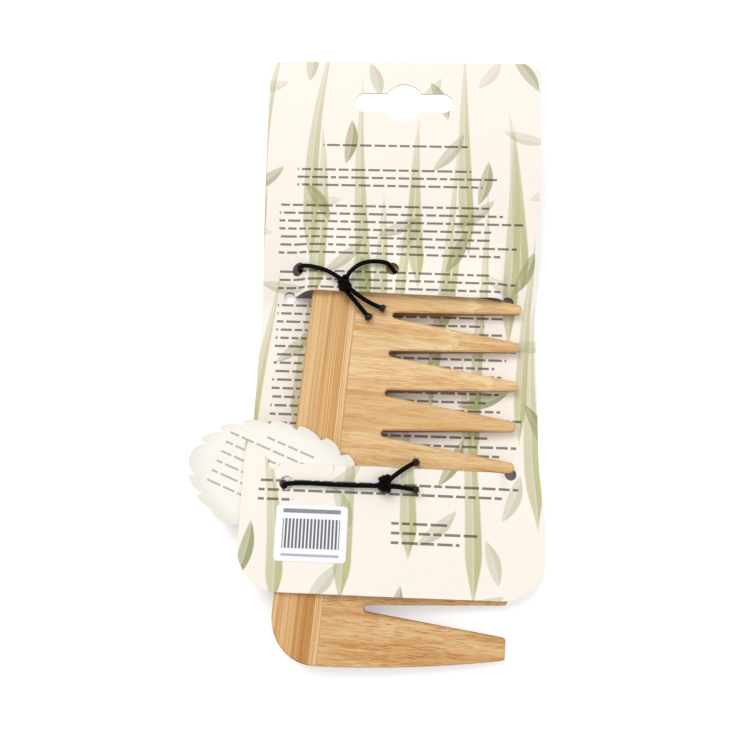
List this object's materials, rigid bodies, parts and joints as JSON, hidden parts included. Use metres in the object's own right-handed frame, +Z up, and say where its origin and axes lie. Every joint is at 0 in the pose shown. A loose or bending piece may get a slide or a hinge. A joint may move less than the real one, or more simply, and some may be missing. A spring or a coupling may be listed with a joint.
{
  "type": "wide tooth comb",
  "caption": "Wide tooth comb of laminated bamboo, woven through two slits of a printed hang card and tied to it with elastic cords, with a leaf-shaped paper tag.",
  "frame": {"origin": "on the flat underside of the card's band, below the middle of the comb", "axes": "+X from the spine to the tips of the teeth, +Y along the comb towards the hang slot, +Z up, away from the face the part rests on"},
  "size_m": [0.1073, 0.1909, 0.0202],
  "materials": {
    "bamboo_teeth": "fine sanded, oiled",
    "bamboo_spine": "fine sanded, oiled",
    "bamboo_dark": "fine sanded, oiled",
    "card": "printed, uncoated",
    "label": "satin",
    "tag": "matt",
    "elastic": "braided"
  },
  "bodies": {
    "carded_comb": {"spine_outer_strip": "bamboo_spine", "spine_middle_strip": "bamboo_dark", "spine_inner_strip": "bamboo_spine", "tooth_strip_01": "bamboo_teeth", "tooth_strip_02": "bamboo_teeth", "tooth_strip_03": "bamboo_teeth", "tooth_strip_04": "bamboo_teeth", "tooth_strip_05": "bamboo_teeth", "tooth_strip_06": "bamboo_teeth", "tooth_strip_07": "bamboo_teeth", "tooth_strip_08": "bamboo_teeth", "tooth_strip_09": "bamboo_teeth", "tooth_strip_10": "bamboo_teeth", "tooth_strip_11": "bamboo_teeth", "tooth_strip_12": "bamboo_teeth", "tooth_strip_13": "bamboo_teeth", "hang_card": "card", "price_label": "label", "upper_tie_loop": "elastic", "upper_tie_knot": "elastic", "upper_tie_left_tail": "elastic", "upper_tie_right_tail": "elastic", "lower_tie_loop": "elastic", "lower_tie_knot": "elastic", "lower_tie_upper_tail": "elastic", "lower_tie_lower_tail": "elastic"},
    "tag": {"leaf_tag": "tag"}
  },
  "joints": [
    {"name": "tag_swing", "type": "hinge", "parent": "carded_comb", "child": "tag", "pos_m": [-0.0348, -0.03754, 0.0081], "axis": [0, 0, 1], "range_deg": [-30, 30]}
  ]
}
